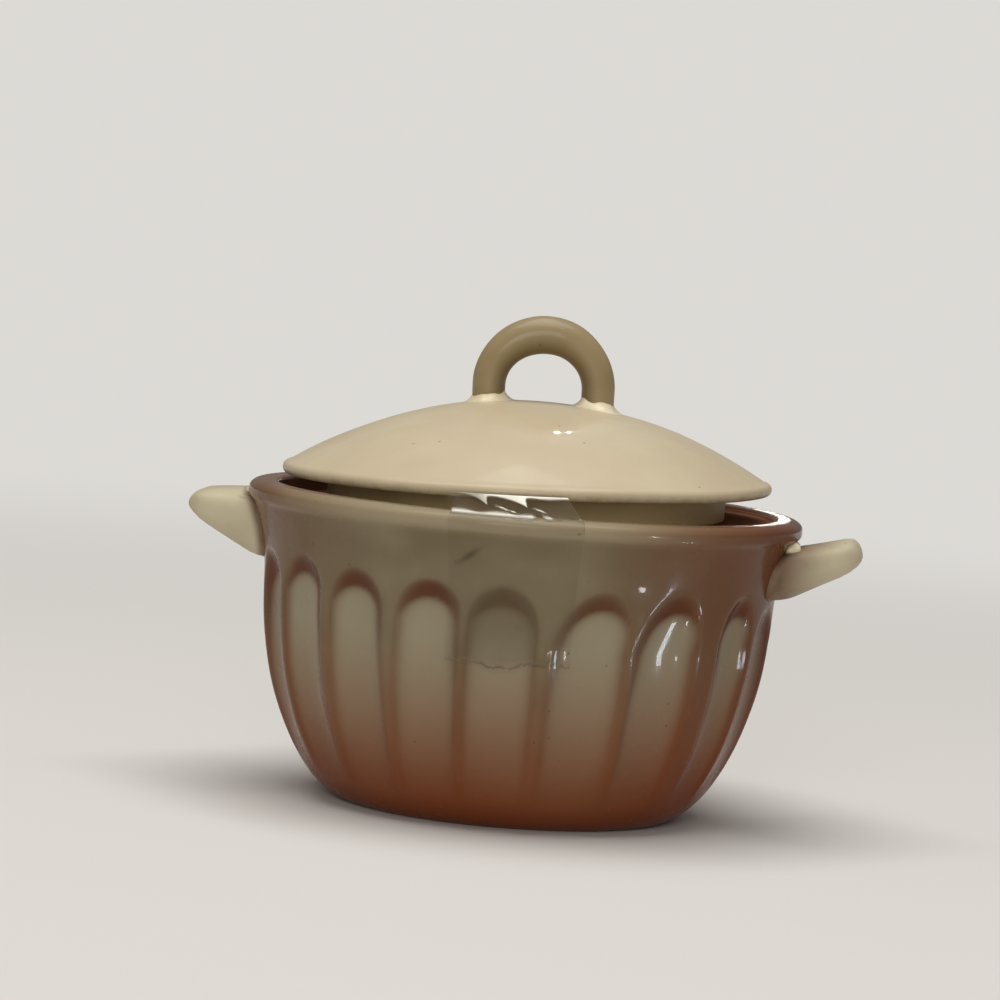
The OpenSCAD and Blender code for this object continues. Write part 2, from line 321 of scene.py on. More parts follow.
def glaze(name, pale, deep, speck=(84, 66, 44), speck_share=0.1, rough=(0.16, 0.34), uneven=0.25, extra=None,
          coat=0.3, shine=0.3):
    """A glossy stoneware glaze. Extra may add colour from the piece's own attributes."""
    material, tree, shader = new_material(name)
    where = node_of(tree, "ShaderNodeTexCoord").outputs["Object"]
    clouds = noise_of(tree, where, 38, 3, 0.55)
    mottle = noise_of(tree, where, 260, 4, 0.6)
    colour = ramp_of(tree, clouds, [(0.34, linear(*deep)), (0.62, linear(*pale))], "EASE")
    colour = blend_of(tree, ramp_of(tree, mottle, [(0.35, 0.0), (0.75, 0.22)]), colour, linear(*deep))
    if extra:
        colour = extra(tree, colour, where)
    dots = specks_of(tree, where, 430, 0.13, speck_share)
    colour = blend_of(tree, blend_of(tree, 1.0, dots, (0.6, 0.6, 0.6), "MULTIPLY"), colour, linear(*speck))
    tree.links.new(colour, shader.inputs["Base Color"])
    dull = ramp_of(tree, mottle, [(0.3, rough[0]), (0.8, rough[1])])
    tree.links.new(dull, shader.inputs["Roughness"])
    bump = node_of(tree, "ShaderNodeBump")
    bump.inputs["Strength"].default_value = uneven
    bump.inputs["Distance"].default_value = 0.0006
    tree.links.new(noise_of(tree, where, 130, 2, 0.4), bump.inputs["Height"])
    tree.links.new(bump.outputs["Normal"], shader.inputs["Normal"])
    shader.inputs["Coat Weight"].default_value = coat
    shader.inputs["Coat Roughness"].default_value = 0.04
    shader.inputs["Specular IOR Level"].default_value = shine
    return material


print("glaze helper ready")

# %% [markdown]
# On the fluted wall the glaze shows how it was cut. It is thin and brown along each flute's
# sharp edge. Each flute's pale floor is thick glaze with painted light on it, and the dark red
# brown under the arched top is painted shade. Painted shade in red brown also covers the two
# sides and the lower wall, and painted light makes the upright band above the neck lighter.
# The mesh carries three numbers for this, for the edge, the floor and the arch, which the
# material reads.


# %% Glaze on the fluted pot
def shaded_side_of(tree, where, start, end, most):
    """A mask for painted shade on the flanks: 0 up to x = start, and climbing to most at x = end, which may
    lie to the left.
    """
    split = node_of(tree, "ShaderNodeSeparateXYZ")
    tree.links.new(where, split.inputs[0])
    climb = node_of(tree, "ShaderNodeMapRange", interpolation_type="SMOOTHSTEP")
    climb.inputs["From Min"].default_value = start
    climb.inputs["From Max"].default_value = end
    climb.inputs["To Max"].default_value = most
    tree.links.new(split.outputs["X"], climb.inputs["Value"])
    return climb.outputs[0]


def fluted_colours(tree, colour, where):
    edge, arch, hollow = (attribute_of(tree, key) for key in ("edge", "arch", "hollow"))
    patchy = noise_of(tree, where, 90, 3, 0.6)
    foot = ramp_of(tree, height_of(tree, where, 0.0, 0.034), [(0.0, 1.0), (0.25, 0.8), (1.0, 0.0)])
    lip = ramp_of(tree, height_of(tree, where, LIP_Z - 0.8 * MM, LIP_Z + 1.6 * MM),
                  [(0.0, 0.0), (1.0, 1.0)], "EASE")
    worn = blend_of(tree, 1.0, edge, ramp_of(tree, patchy, [(0.3, 0.5), (0.7, 1.0)]), "MULTIPLY")
    lower = ramp_of(tree, height_of(tree, where, 0.022, 0.042), [(0.0, 1.0), (1.0, 0.25)])
    worn = blend_of(tree, 1.0, worn, lower, "MULTIPLY")
    # Painted light: the upright band above the neck is made lighter.
    colour = blend_of(tree, lip, colour, linear(152, 138, 112))
    # Painted shade in red brown on the right and left flanks.
    colour = blend_of(tree, shaded_side_of(tree, where, 0.008, 0.044, 0.92), colour, linear(104, 50, 22))
    colour = blend_of(tree, shaded_side_of(tree, where, -0.024, -0.05, 0.6), colour, linear(104, 62, 38))
    # Each flute's pale floor: thick glaze and painted light.
    colour = blend_of(tree, ramp_of(tree, hollow, [(0.0, 0.0), (1.0, 0.92)]), colour, linear(152, 142, 118))
    # More painted shade over the flute floors on the right.
    colour = blend_of(tree, shaded_side_of(tree, where, 0.012, 0.05, 0.45), colour, linear(106, 84, 62))
    # Painted shade at the far right and far left edges.
    colour = blend_of(tree, shaded_side_of(tree, where, 0.0395, 0.046, 0.85), colour, linear(98, 56, 34))
    colour = blend_of(tree, shaded_side_of(tree, where, -0.041, -0.048, 0.7), colour, linear(104, 68, 46))
    colour = blend_of(tree, ramp_of(tree, worn, [(0.0, 0.0), (1.0, 0.65)]), colour, linear(108, 80, 54))
    # Painted shade in dark red brown under each arched top.
    colour = blend_of(tree, ramp_of(tree, arch, [(0.0, 0.0), (1.0, 0.97)]), colour, linear(84, 34, 4))
    # Painted shade in red brown over the lower wall, strongest at the bottom.
    foot = blend_of(tree, 1.0, foot, (0.9, 0.9, 0.9), "MULTIPLY")
    colour = blend_of(tree, foot, colour, linear(124, 54, 14))
    return colour


# The pot's glaze is darker than the lid's and the lugs': partly its own tone, partly painted shade.
POT_GLAZE = glaze("pot_celadon_glaze_and_shade", (130, 118, 94), (114, 101, 78), extra=fluted_colours,
                  coat=0.13, shine=0.05)
INSIDE_GLAZE = glaze("pot_brown_inside", (150, 106, 84), (128, 88, 68), rough=(0.6, 0.7),
                     uneven=0.4, coat=0.0, shine=0.0)


# %% Glaze on the lugs, which runs out where they meet the pot, with painted shade in that corner
def lug_root_glaze_and_shade(tree, colour, where):
    patchy = noise_of(tree, where, 150, 3, 0.6)
    near = ramp_of(tree, attribute_of(tree, "root"), [(0.0, 0.0), (1.0, 1.0)], "EASE")
    near = blend_of(tree, 1.0, near, ramp_of(tree, patchy, [(0.3, 0.75), (0.7, 1.0)]), "MULTIPLY")
    # Thin glaze and painted shade where the lug meets the wall.
    return blend_of(tree, near, colour, linear(104, 74, 52))


LUG_GLAZE = glaze("lug_pale_glaze", (198, 188, 160), (182, 170, 141), speck_share=0.05, rough=(0.45, 0.6),
                  uneven=0.3, extra=lug_root_glaze_and_shade, coat=0.0, shine=0.2)
print("pot glaze and lug glaze ready")


# %% Glaze on the lid, with its brown edge: thin glaze and painted shade
def lid_edge_break_and_shade(tree, colour, where):
    edge = attribute_of(tree, "edge")
    patchy = noise_of(tree, where, 420, 3, 0.7)
    broken = blend_of(tree, 1.0, edge, ramp_of(tree, patchy, [(0.3, 0.35), (0.75, 1.0)]), "MULTIPLY")
    # Broken thin glaze and painted shade along the lid's lower corner.
    return blend_of(tree, ramp_of(tree, broken, [(0.0, 0.0), (1.0, 0.8)]), colour, linear(122, 108, 74))


LID_GLAZE = glaze("lid_cream_glaze", (201, 187, 157), (194, 177, 147), speck_share=0.05, rough=(0.4, 0.52),
                  uneven=0.08, extra=lid_edge_break_and_shade, coat=0.14, shine=0.25)

# %% Glaze on the loop, with painted shade where it faces the hole
def loop_inner_shade(tree, colour, where):
    inner = ramp_of(tree, attribute_of(tree, "inner"), [(0.45, 0.0), (1.0, 0.8)], "EASE")
    return blend_of(tree, inner, colour, linear(98, 80, 48))


LOOP_GLAZE = glaze("loop_olive_glaze", (154, 136, 102), (136, 118, 82), speck_share=0.25, rough=(0.35, 0.5),
                   uneven=0.3, extra=loop_inner_shade, coat=0.2, shine=0.2)
SLIP_GLAZE = glaze("slip_bead_glaze", (238, 226, 194), (222, 206, 170), speck_share=0.02,
                   rough=(0.25, 0.4), uneven=0.5)
BARE_CLAY = glaze("bare_olive_clay", (188, 166, 120), (166, 146, 102), rough=(0.45, 0.6),
                  uneven=0.5, coat=0.0)
print("lid, loop, slip and clay finishes ready")

# %% [markdown]
# The pot's wall follows a rule: one section spun round an axis, with a flute cut every 18
# degrees. Geometry Nodes suit that. The section is a line of points, and each point says how
# far it takes part in the fluting, in the seat's tilt and in the glaze inside. A second line
# holds one point for each flute, with eight facts of its own, because they were cut by hand.
# One of them sets the side of each flute that gets painted shade.


# %% The pot's section, from the foot round to the floor inside
def section_line():
    """Points (radius, height, flute, seat and inside shares) from the underside's middle to the floor's."""
    recess, ring = 1.0 * MM, 5.0 * MM
    under = bend_through([(0, recess), (FOOT_R - ring - 0.6 * MM, recess)], 3.2 * MM)
    under += [(FOOT_R - ring, recess * 0.6), (FOOT_R - ring + 0.2 * MM, 0.12 * MM)]
    under += [(FOOT_R - ring + 0.7 * MM, 0), (FOOT_R - 2 * MM, 0), (FOOT_R - 0.5 * MM, 0)]
    fine = [(wall_r(z), z) for z in np.linspace(0.12 * MM, LIP_Z, 4000)]
    run = np.concatenate([[0], np.cumsum(np.hypot(*np.diff(np.array(fine), axis=0).T))])
    wanted = np.linspace(0, run[-1], 112)
    wall = [(float(np.interp(s, run, [p[0] for p in fine])), float(np.interp(s, run, [p[1] for p in fine])))
            for s in wanted]
    lip = [(NECK_R + LIP_STEP * t * t * (3 - 2 * t), LIP_Z + 1.1 * MM * t) for t in (0.25, 0.5, 0.75, 1)]
    lip += [(RIM_R - 2.4 * MM * (1 - math.cos(a)), POT_H - 1.6 * MM * (1 - math.sin(a)))
            for a in np.linspace(0, math.pi / 2, 10)]
    lip += bend_through([lip[-1], (MOUTH_R + 0.9 * MM, POT_H)], 0.7 * MM)[1:]
    lip += rounded((MOUTH_R + 0.9 * MM, POT_H - 0.9 * MM), 0.9 * MM, 90, 180, 6)[1:]
    seat = rounded((MOUTH_R - 0.6 * MM, SEAT_Z + 0.6 * MM), 0.6 * MM, 0, -90, 4)
    seat += bend_through([seat[-1], (THROAT_R + 0.8 * MM, SEAT_Z)], 2.4 * MM)[1:]
    seat += rounded((THROAT_R + 0.8 * MM, SEAT_Z - 0.8 * MM), 0.8 * MM, 90, 180, 4)[1:]
    seat_under = SEAT_Z - SEAT_T
    inner_r = BELLY_R - WALL_T
    slope_low = seat_under - (inner_r - THROAT_R)
    inner_foot = FOOT_R - WALL_T + 1 * MM
    inside = bend_through([(THROAT_R, seat_under), (inner_r - 0.5 * MM, slope_low + 0.4 * MM)], 3 * MM)
    for z in np.linspace(slope_low - 1 * MM, FLOOR_T + 0.3 * MM, 16):
        t = min(1.0, (z - FLOOR_T) / (BELLY_Z - FLOOR_T))
        inside.append((inner_foot + (inner_r - inner_foot) * (1 - (1 - t) ** 2) ** FULLNESS, float(z)))
    inside += bend_through([(inner_foot - 1 * MM, FLOOR_T), (0, FLOOR_T)], 3.2 * MM)
    line = [(r, z, 0.0, 0.0, 0.6) for r, z in under]
    line += [(r, z, 1.0, 0.0, 0.0) for r, z in wall]
    line += [(r, z, 0.0, 0.0, 0.0) for r, z in lip]
    line += [(r, z, 0.0, 1.0, 1.0) for r, z in seat]
    line += [(r, z, 0.0, 0.0, 1.0) for r, z in inside]
    return line


SECTION = section_line()


def point_line(name, places, **facts):
    """A mesh of bare points, each with its own named numbers."""
    mesh = bpy.data.meshes.new(name)
    mesh.from_pydata(places, [(i, i + 1) for i in range(len(places) - 1)], [])
    for key, values in facts.items():
        mesh.attributes.new(key, "FLOAT", "POINT").data.foreach_set("value", values)
    line = bpy.data.objects.new(name, mesh)
    bpy.context.scene.collection.objects.link(line)
    return line


section = point_line("pot_section", [(point[0], 0, point[1]) for point in SECTION],
                     flute_share=[point[2] for point in SECTION], seat_share=[point[3] for point in SECTION],
                     inside_share=[point[4] for point in SECTION])
print("section points", len(SECTION))

# %% Each flute as it was cut
# How far it is turned (degrees) and its top raised (mm), its width against the others, its depth
# (mm) and lean (degrees). Then the arch's height and its crown's shift, as shares of half the
# width, and how far to one side the pale floor lies, which leaves painted shade on the other side.
FRONT_CUTS = {
    17: (0.2, 1.3, 0.98, 1.9, 0.4, 1.3, 0.1, -0.8),
    18: (0.2, 0.5, 1.0, 2.1, 0.0, 1.2, 0.0, -0.6),
    19: (0.3, 0.2, 1.0, 2.3, 0.5, 1.0, 0.0, -0.3),
    0: (-1.0, -0.1, 1.06, 2.3, 0.0, 1.4, 0.0, 0.0),
    1: (0.5, 0.3, 1.16, 2.5, -0.6, 1.5, 0.3, 0.9),
    2: (1.2, 0.2, 1.1, 2.4, -1.0, 1.6, 0.35, 1.0),
    3: (5.0, -0.6, 0.84, 2.2, -1.2, 1.7, 0.3, 1.5),
    4: (3.0, 0.0, 0.95, 1.8, 0.0, 1.4, 0.1, 0.0),
}
chance = random.Random(20)
cuts = []
for k in range(FLUTES):
    loose = (chance.uniform(-1, 1), chance.uniform(-0.6, 0.4), chance.uniform(0.96, 1.06),
             chance.uniform(2.0, 2.4), chance.uniform(-1, 1), chance.uniform(1.0, 1.4),
             chance.uniform(-0.2, 0.2), chance.uniform(-0.7, 0.7))
    turn, rise, width, depth, lean, tall, crown, thin = FRONT_CUTS.get(k, loose)
    middle = math.degrees(FLUTE_TURN) - 90 + FLUTE_PITCH * k
    wrapped = middle - 360 if middle > 180 else middle
    under_lug = abs(abs(wrapped - math.degrees(LUG_TURN)) - 90) > 90 - FLUTE_PITCH
    top = LUG_LOW - 0.2 * MM if under_lug else FLUTE_TOP + rise * MM
    cuts.append({"turn": math.radians(turn), "top": top, "width": width, "depth": depth * MM,
                 "lean": math.radians(lean), "tall": tall, "crown": crown, "thin": thin})
CUT_FACTS = tuple(cuts[0])
flute_facts = point_line("flute_facts", [(0, 0, MM * k) for k in range(FLUTES)],
                         **{key: [cut[key] for cut in cuts] for key in CUT_FACTS})
print("flutes", len(cuts), "cut short under the lugs:", sum(1 for cut in cuts if cut["top"] < LUG_LOW))

# %% [markdown]
# The tree is easier to write as sums than as boxes and wires. A `Flow` is a number that travels
# through the tree. Adding or multiplying two of them makes the node that does it.


# %% Sums that build nodes
class Flow:
    """A number on its way through a node tree."""

    def __init__(self, tree, socket):
        self.tree, self.socket = tree, socket

    def math(self, what, *others):
        node = node_of(self.tree, "ShaderNodeMath", operation=what)
        for place, value in zip(node.inputs, (self, *others)):
            if isinstance(value, Flow):
                self.tree.links.new(value.socket, place)
            else:
                place.default_value = value
        return Flow(self.tree, node.outputs[0])

    def __add__(self, other):
        return self.math("ADD", other)

    def __sub__(self, other):
        return self.math("SUBTRACT", other)

    def __mul__(self, other):
        return self.math("MULTIPLY", other)

    def __truediv__(self, other):
        return self.math("DIVIDE", other)

    def less_from(self, number):
        """number minus this"""
        return (self * -1.0) + number


def sampled(tree, geometry, name, row, kind="FLOAT"):
    """The value that one point of a line holds, by its place in the line."""
    look = node_of(tree, "GeometryNodeSampleIndex", data_type=kind, domain="POINT", clamp=True)
    tree.links.new(geometry, look.inputs["Geometry"])
    if name == "position":
        value = node_of(tree, "GeometryNodeInputPosition").outputs[0]
    else:
        field = node_of(tree, "GeometryNodeInputNamedAttribute", data_type=kind)
        field.inputs["Name"].default_value = name
        value = field.outputs[0]
    tree.links.new(value, look.inputs["Value"])
    tree.links.new(row.socket, look.inputs["Index"])
    return look.outputs[0]


print("sums ready")

# %% [markdown]
# The tree spins the section into a skin, then pushes the wall in wherever a flute passes. A
# flute's hollow is deepest on its middle line and falls off to nothing at its edge, which is
# straight below and a half oval at the top. Each spot on the wall asks the two nearest flutes
# and keeps the deeper answer, so a leaning flute may cross the line between two places.


# %% The tree that throws and flutes the pot
def throwing_tree():
    tree = bpy.data.node_groups.new("throw_and_flute", "GeometryNodeTree")
    face = tree.interface
    face.new_socket("Geometry", in_out="INPUT", socket_type="NodeSocketGeometry")
    named = {}
    for key, kind, value in (("Flutes", "NodeSocketInt", FLUTES), ("Columns", "NodeSocketInt", 480),
                             ("First flute", "NodeSocketFloat", 0.0),
                             ("Run out height", "NodeSocketFloat", FLUTE_END),
                             ("Flute share of pitch", "NodeSocketFloat", 0.43),
                             ("Seat tilt", "NodeSocketFloat", 0.0),
                             ("Seed", "NodeSocketInt", 3), ("Cuts", "NodeSocketObject", None),
                             ("Glaze", "NodeSocketMaterial", None),
                             ("Inside glaze", "NodeSocketMaterial", None)):
        named[key] = face.new_socket(key, in_out="INPUT", socket_type=kind)
        if value is not None:
            named[key].default_value = value
    face.new_socket("Geometry", in_out="OUTPUT", socket_type="NodeSocketGeometry")
    came, went = tree.nodes.new("NodeGroupInput"), tree.nodes.new("NodeGroupOutput")

    def given(key):
        return Flow(tree, came.outputs[key])

    count = node_of(tree, "GeometryNodeAttributeDomainSize", component="MESH")
    tree.links.new(came.outputs["Geometry"], count.inputs[0])
    rows = Flow(tree, count.outputs["Point Count"])
    grid = node_of(tree, "GeometryNodeMeshGrid")
    tree.links.new((given("Columns") + 1.0).socket, grid.inputs["Vertices X"])
    tree.links.new(rows.socket, grid.inputs["Vertices Y"])
    here = node_of(tree, "ShaderNodeSeparateXYZ")
    tree.links.new(node_of(tree, "GeometryNodeInputPosition").outputs[0], here.inputs[0])
    angle = (Flow(tree, here.outputs["X"]) + 0.5) * (2 * math.pi)
    row = ((Flow(tree, here.outputs["Y"]) + 0.5) * (rows - 1.0)).math("ROUND")
    spot = node_of(tree, "ShaderNodeSeparateXYZ")
    tree.links.new(sampled(tree, came.outputs["Geometry"], "position", row, "FLOAT_VECTOR"), spot.inputs[0])
    radius, height = Flow(tree, spot.outputs["X"]), Flow(tree, spot.outputs["Z"])
    flute_share = Flow(tree, sampled(tree, came.outputs["Geometry"], "flute_share", row))
    seat_share = Flow(tree, sampled(tree, came.outputs["Geometry"], "seat_share", row))
    inside_share = Flow(tree, sampled(tree, came.outputs["Geometry"], "inside_share", row))

    pitch = (given("Flutes").math("POWER", -1.0)) * (2 * math.pi)
    place = (angle - given("First flute")) / pitch
    fetch = node_of(tree, "GeometryNodeObjectInfo")
    tree.links.new(came.outputs["Cuts"], fetch.inputs[0])
    facts = fetch.outputs["Geometry"]
    climb = ((height - given("Run out height")) / FULL_DEPTH_RISE).math("MAXIMUM", 0.0).math("MINIMUM", 1.0)
    run_out = climb.less_from(1.0).math("POWER", 3.0).less_from(1.0)

    def cut_by(number):
        """Depth, closeness to the edge, and the shares of pale floor (thick glaze and painted light) and
        painted arch shade, for one flute.
        """
        k = number.math("FLOORED_MODULO", given("Flutes"))
        turn, top, width, depth, lean, tall, crown, thin = (
            Flow(tree, sampled(tree, facts, key, k)) for key in CUT_FACTS)
        slant = lean * ((height - LEAN_MIDDLE) / LEAN_MIDDLE)
        half = width * given("Flute share of pitch") * pitch * radius
        arch_h = half * tall
        above = (height - (top - arch_h)).math("MAXIMUM", 0.0) / arch_h
        across = ((place - number) * pitch - turn - slant) * radius / half - crown * above
        reach = (across.math("POWER", 2.0) + above.math("POWER", 2.0)).math("SQRT")
        inside = reach.math("POWER", 2.0).less_from(1.0)
        soft = (inside + (inside * inside + 0.006).math("SQRT")) * 0.5
        deep = soft.math("POWER", 0.72) * depth * run_out
        down = ((height - top) / ARCH_SHADE + 1.0).math("MAXIMUM", 0.0)
        # The thin fact moves the pale floor to one side near the arch, leaving painted shade on the other
        # side.
        thin = thin * down
        pale_half = (thin.math("ABSOLUTE") * 0.2).less_from(0.93)
        # The pale floor, thick glaze with painted light, ends in a half oval under the arch.
        pale_h = half * 0.75
        pale_above = (height - (top - pale_h - PALE_BELOW)).math("MAXIMUM", 0.0) / pale_h
        pale_across = (across - thin * 0.24) / pale_half
        pale_reach = (pale_across.math("POWER", 2.0) + pale_above.math("POWER", 2.0)).math("SQRT")
        pale = pale_reach.math("POWER", 6.0).less_from(1.0).math("MAXIMUM", 0.0)
        # Painted shade fills the arch's top where the pale floor doesn't reach.
        arch_shade_share = reach.math("POWER", 9.0).less_from(1.0).math("MAXIMUM", 0.0) * pale.less_from(1.0) * down
        return deep, reach, pale, arch_shade_share

    first = cut_by(place.math("FLOOR"))
    second = cut_by(place.math("FLOOR") + 1.0)
    deep = first[0].math("MAXIMUM", second[0]) * flute_share
    reach = first[1].math("MINIMUM", second[1])
    pale = first[2].math("MAXIMUM", second[2])
    arch_shade_share = first[3].math("MAXIMUM", second[3])

    hand = node_of(tree, "ShaderNodeTexNoise", noise_dimensions="4D")
    hand.inputs["Scale"].default_value = 1.0
    hand.inputs["Detail"].default_value = 1.0
    tree.links.new(given("Seed").socket, hand.inputs["W"])
    round_about = node_of(tree, "ShaderNodeCombineXYZ")
    tree.links.new((angle.math("COSINE") * 2.4).socket, round_about.inputs[0])
    tree.links.new((angle.math("SINE") * 2.4).socket, round_about.inputs[1])
    tree.links.new((height * 60.0).socket, round_about.inputs[2])
    tree.links.new(round_about.outputs[0], hand.inputs["Vector"])
    uneven = Flow(tree, hand.outputs["Fac"]) * 0.0006 * flute_share
    pushed = radius - deep - uneven

    placed = node_of(tree, "ShaderNodeCombineXYZ")
    x = pushed * angle.math("COSINE")
    tree.links.new(x.socket, placed.inputs[0])
    tree.links.new((pushed * angle.math("SINE")).socket, placed.inputs[1])
    tree.links.new((height + seat_share * x * given("Seat tilt").math("TANGENT")).socket, placed.inputs[2])

    stream = grid.outputs["Mesh"]
    keep = {
        "edge": (((reach - 1.02) / 0.14).math("POWER", 2.0) * -1.0).math("EXPONENT") * flute_share * run_out,
        "hollow": pale * flute_share * run_out,
        "inside": inside_share.math("GREATER_THAN", 0.5),
        "arch": arch_shade_share * flute_share,
    }
    held = {}
    for key, flow in keep.items():
        capture = node_of(tree, "GeometryNodeCaptureAttribute", domain="POINT")
        capture.capture_items.new("FLOAT", key)
        tree.links.new(stream, capture.inputs["Geometry"])
        tree.links.new(flow.socket, capture.inputs[1])
        stream, held[key] = capture.outputs["Geometry"], capture.outputs[1]
    held_inside = held.pop("inside")
    moved = node_of(tree, "GeometryNodeSetPosition")
    tree.links.new(stream, moved.inputs["Geometry"])
    tree.links.new(placed.outputs[0], moved.inputs["Position"])
    stream = moved.outputs["Geometry"]
    for key, value in held.items():
        store = node_of(tree, "GeometryNodeStoreNamedAttribute", data_type="FLOAT", domain="POINT")
        store.inputs["Name"].default_value = key
        tree.links.new(stream, store.inputs["Geometry"])
        tree.links.new(value, store.inputs["Value"])
        stream = store.outputs["Geometry"]
    merge = node_of(tree, "GeometryNodeMergeByDistance")
    merge.inputs["Distance"].default_value = 0.004 * MM
    realize = node_of(tree, "GeometryNodeRealizeInstances")
    paint = node_of(tree, "GeometryNodeSetMaterial")
    tree.links.new(stream, merge.inputs["Geometry"])
    tree.links.new(merge.outputs["Geometry"], realize.inputs["Geometry"])
    tree.links.new(realize.outputs["Geometry"], paint.inputs["Geometry"])
    tree.links.new(came.outputs["Glaze"], paint.inputs["Material"])
    line_inside = node_of(tree, "GeometryNodeSetMaterial")
    tree.links.new(paint.outputs["Geometry"], line_inside.inputs["Geometry"])
    tree.links.new(came.outputs["Inside glaze"], line_inside.inputs["Material"])
    tree.links.new(held_inside, line_inside.inputs["Selection"])
    tree.links.new(line_inside.outputs["Geometry"], went.inputs["Geometry"])
    return tree, {key: socket.identifier for key, socket in named.items()}


TREE, INPUTS = throwing_tree()
print("tree nodes", len(TREE.nodes))

# %% Throw the pot
wheel = section.modifiers.new("throw", "NODES")
wheel.node_group = TREE
for key, value in {"Flutes": FLUTES, "Columns": 480, "First flute": FLUTE_TURN - math.pi / 2 + 2 * math.pi,
                   "Run out height": FLUTE_END, "Flute share of pitch": 0.425, "Seat tilt": SEAT_TILT,
                   "Seed": 3, "Cuts": flute_facts, "Glaze": POT_GLAZE, "Inside glaze": INSIDE_GLAZE}.items():
    wheel[INPUTS[key]] = value
bpy.context.view_layer.update()
thrown = bpy.data.meshes.new_from_object(section.evaluated_get(bpy.context.evaluated_depsgraph_get()))
section.modifiers.clear()
pot = finished("fluted_pot", thrown, None)
for helper in (section, flute_facts):
    bpy.data.objects.remove(helper)
pot_points = np.array([v.co for v in pot.data.vertices])
print("pot box, mm:", (pot_points.min(0) / MM).round(2), (pot_points.max(0) / MM).round(2))
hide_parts("pot_body")
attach(pot, "pot")

# %% [markdown]
# A lug is a short slab of clay: straight with rounded corners from above, and a thin wedge with
# a rounded nose from the side. It is lofted from rounded slices between the wall and the tip. Each
# slice is a superellipse, which is a rectangle with generous corners, and the slices shrink as
# square roots near the nose so that it closes round.


# %% Lugs
def lug_rows(drop, top_slope, under_slope, seed):
    tip_t = 3.1 * MM
    nose = (LUG_X - tip_t, POT_H - drop)
    inner = LUG_X - LUG_CORNER
    root = MOUTH_R + 0.3 * MM
    up, down = math.tan(math.radians(top_slope)), math.tan(math.radians(under_slope))
    rows = []
    steps = 64
    for j in range(steps + 1):
        t = j / steps
        x = root + (LUG_X - 0.01 * MM - root) * (1 - (1 - t) ** 1.9)
        rest = max(LUG_X - x, 0.0)
        top = nose[1] + tip_t / math.cos(math.radians(top_slope)) - (nose[0] - x) * up
        low = nose[1] - tip_t / math.cos(math.radians(under_slope)) - (nose[0] - x) * down
        middle, half_h = (top + low) / 2, (top - low) / 2
        if x > nose[0]:
            share = math.sqrt(max(0.0, 1 - ((x - nose[0]) / tip_t) ** 2))
            middle = nose[1] + (middle - nose[1]) * share * share
            half_h = min(half_h, tip_t * 1.04) * share
        half_w = LUG_HALF_W - 0.2 * MM
        if x > inner:
            half_w += math.sqrt(max(0.0, LUG_CORNER**2 - (x - inner) ** 2)) - LUG_CORNER
        row = []
        for i in range(72):
            a = 2 * math.pi * i / 72
            power = 2 / 3.2
            y = half_w * math.copysign(abs(math.cos(a)) ** power, math.cos(a))
            z = middle + half_h * math.copysign(abs(math.sin(a)) ** power, math.sin(a))
            dent = 0.22 * MM * (wobble((x, y, z), 9 * MM, seed) - 0.5) * min(1.0, rest / (2 * MM))
            flare = 2.2 * MM * max(0.0, 1 - from_wall(x, y, z) / (3.6 * MM)) ** 2
            y += (dent + flare) * math.cos(a)
            row.append((x, y, z + (dent + min(0.0, math.sin(a)) * 0.5 * flare) * math.sin(a)))
        rows.append(row)
    return rows


def from_wall(x, y, z):
    """How far a point stands out from the pot's wall, along the lug."""
    r = RIM_R if z > LIP_Z else wall_r(z)
    return max(0.0, x - math.sqrt(max(0.0, r * r - y * y)))


def painted(mesh, name, values):
    mesh.attributes.new(name, "FLOAT", "POINT").data.foreach_set("value", values)
    return mesh


def placed_lug(point, sign):
    """A point of a lug made along +X, moved to the left or right lug's own place."""
    return tuple(Matrix.Rotation(LUG_TURN, 3, "Z") @ Vector((sign * point[0], point[1], point[2])))


def capped(rows):
    """Rows with a point at each end, so that the skin closes."""
    first, last = np.mean(rows[0], axis=0), np.mean(rows[-1], axis=0)
    return [[tuple(first)] * len(rows[0])] + rows + [[tuple(last)] * len(rows[0])]


# The root's thin glaze and painted shade reach much further on the right lug.
for side, sign, drop, slope, root_glaze_and_shade_reach, seed in (("left", -1, 6.1, -5, 1.8, 4), ("right", 1, 5.5, 14, 10.5, 9)):
    rows = capped(lug_rows(drop * MM, slope, 28, seed))
    root = [max(0.0, 1 - from_wall(*point) / (root_glaze_and_shade_reach * MM)) for row in rows for point in row]
    rows = [[placed_lug(point, sign) for point in row] for row in rows]
    lug = finished(f"{side}_pulled_lug", painted(skin(f"{side}_lug_skin", rows), "root", root), LUG_GLAZE)
    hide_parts(f"{side}_lug")
    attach(lug, "pot")

# %% [markdown]
# Where a part is stuck on, the potter wipes on liquid clay. It dries as a lumpy roll in the
# corner. A roll is a tube along the joint whose thickness comes from noise, with its two ends
# drawn in to points. It sits half in the clay, so that only the bulge shows.


# %% Rolls of slip above the lugs
def roll_rows(line, thickness, lumps, seed, plump, around=28):
    """A lumpy tube along points. Its ends taper to nothing."""
    line = [Vector(p) for p in line]
    rows = []
    for j, point in enumerate(line):
        ahead = (line[min(j + 1, len(line) - 1)] - line[max(j - 1, 0)]).normalized()
        across = ahead.cross(Vector((0, 0, 1))).normalized()
        over = across.cross(ahead).normalized()
        t = j / (len(line) - 1)
        taper = max(0.02, min(1.0, math.sqrt(min(t, 1 - t) * 9)))
        row = []
        for i in range(around):
            a = 2 * math.pi * i / around
            spot = tuple(point + over * math.sin(a) * thickness)
            r = thickness * taper * plump[j] * (1 + lumps * wobble(spot, 4 * MM, seed))
            row.append(tuple(point + across * math.cos(a) * r + over * math.sin(a) * r * 0.8))
        rows.append(row)
    return capped(rows)


